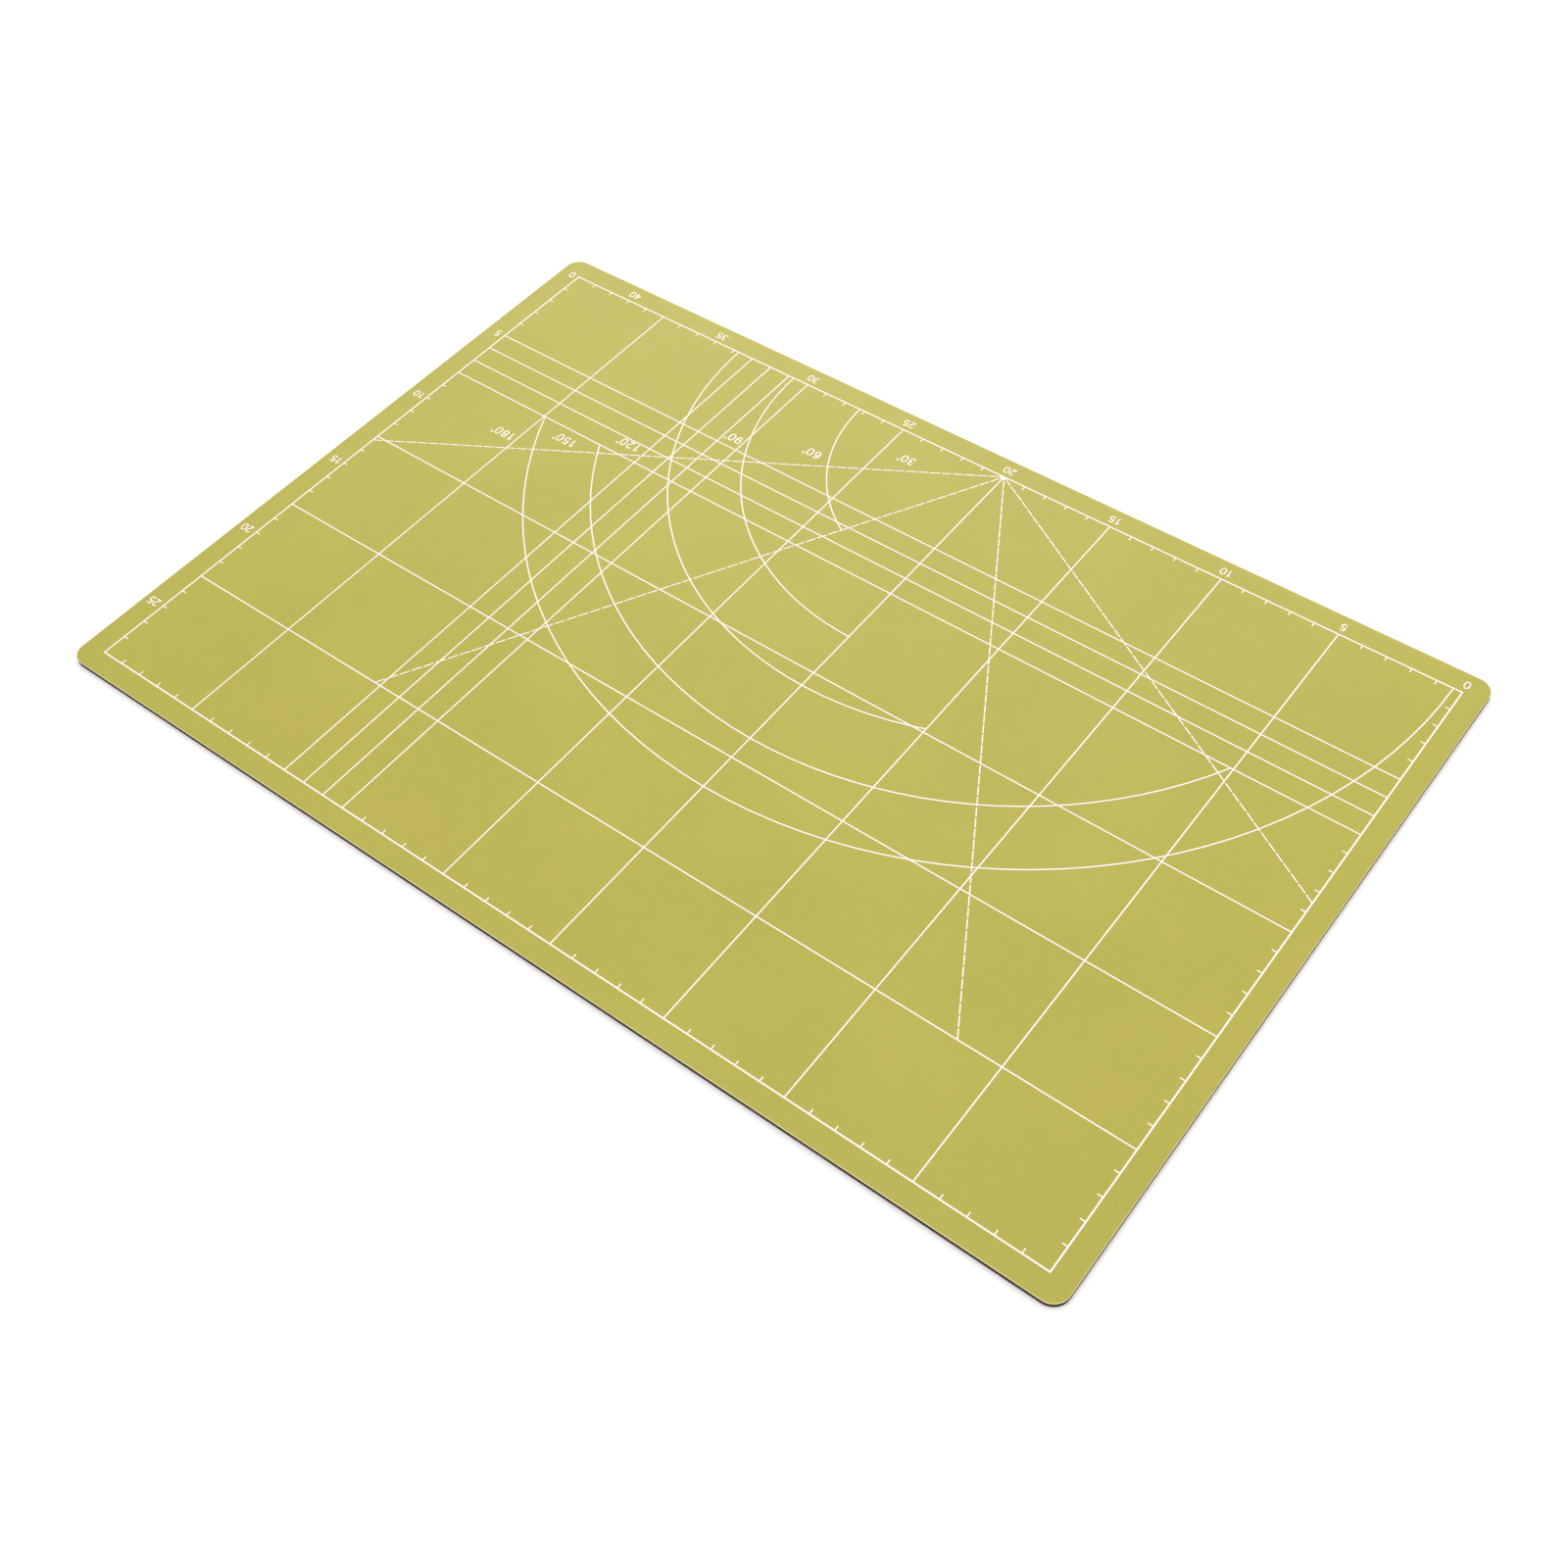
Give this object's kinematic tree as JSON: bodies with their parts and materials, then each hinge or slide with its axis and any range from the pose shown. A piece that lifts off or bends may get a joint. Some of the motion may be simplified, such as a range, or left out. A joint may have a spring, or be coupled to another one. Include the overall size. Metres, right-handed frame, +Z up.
{
  "type": "self healing cutting mat",
  "caption": "Flat laminated vinyl cutting mat with round corners and a white printed grid, centimetre scales and protractor arcs.",
  "frame": {"origin": "middle of the underside, on the surface that the mat lies on", "axes": "+X along the length scale from 0 towards 40, +Y along the width scale from 0 towards 25, +Z up out of the printed face"},
  "size_m": [0.449, 0.299, 0.0026],
  "materials": {
    "green_vinyl": "soft PVC skin, yellow-green, calendered matt satin",
    "core_vinyl": "harder PVC core sheet, brown-black, cut edge",
    "black_vinyl": "soft PVC skin, brown-black, calendered matt satin",
    "white_ink": "screen-printed white vinyl ink, matt"
  },
  "bodies": {
    "root": {"bottom_skin": "black_vinyl", "core_sheet": "core_vinyl", "top_skin": "green_vinyl", "line_print": "white_ink", "length_scale_0_digit_1": "white_ink", "length_scale_5_digit_1": "white_ink", "length_scale_10_digit_1": "white_ink", "length_scale_10_digit_2": "white_ink", "length_scale_15_digit_1": "white_ink", "length_scale_15_digit_2": "white_ink", "length_scale_20_digit_1": "white_ink", "length_scale_20_digit_2": "white_ink", "length_scale_25_digit_1": "white_ink", "length_scale_25_digit_2": "white_ink", "length_scale_30_digit_1": "white_ink", "length_scale_30_digit_2": "white_ink", "length_scale_35_digit_1": "white_ink", "length_scale_35_digit_2": "white_ink", "length_scale_40_digit_1": "white_ink", "length_scale_40_digit_2": "white_ink", "width_scale_0_digit_1": "white_ink", "width_scale_5_digit_1": "white_ink", "width_scale_10_digit_1": "white_ink", "width_scale_10_digit_2": "white_ink", "width_scale_15_digit_1": "white_ink", "width_scale_15_digit_2": "white_ink", "width_scale_20_digit_1": "white_ink", "width_scale_20_digit_2": "white_ink", "width_scale_25_digit_1": "white_ink", "width_scale_25_digit_2": "white_ink", "angle_30_digit_1": "white_ink", "angle_30_digit_2": "white_ink", "angle_30_degree_sign": "white_ink", "angle_60_digit_1": "white_ink", "angle_60_digit_2": "white_ink", "angle_60_degree_sign": "white_ink", "angle_90_digit_1": "white_ink", "angle_90_digit_2": "white_ink", "angle_90_degree_sign": "white_ink", "angle_120_digit_1": "white_ink", "angle_120_digit_2": "white_ink", "angle_120_digit_3": "white_ink", "angle_120_degree_sign": "white_ink", "angle_150_digit_1": "white_ink", "angle_150_digit_2": "white_ink", "angle_150_digit_3": "white_ink", "angle_150_degree_sign": "white_ink", "angle_180_digit_1": "white_ink", "angle_180_digit_2": "white_ink", "angle_180_digit_3": "white_ink", "angle_180_degree_sign": "white_ink"}
  },
  "joints": []
}
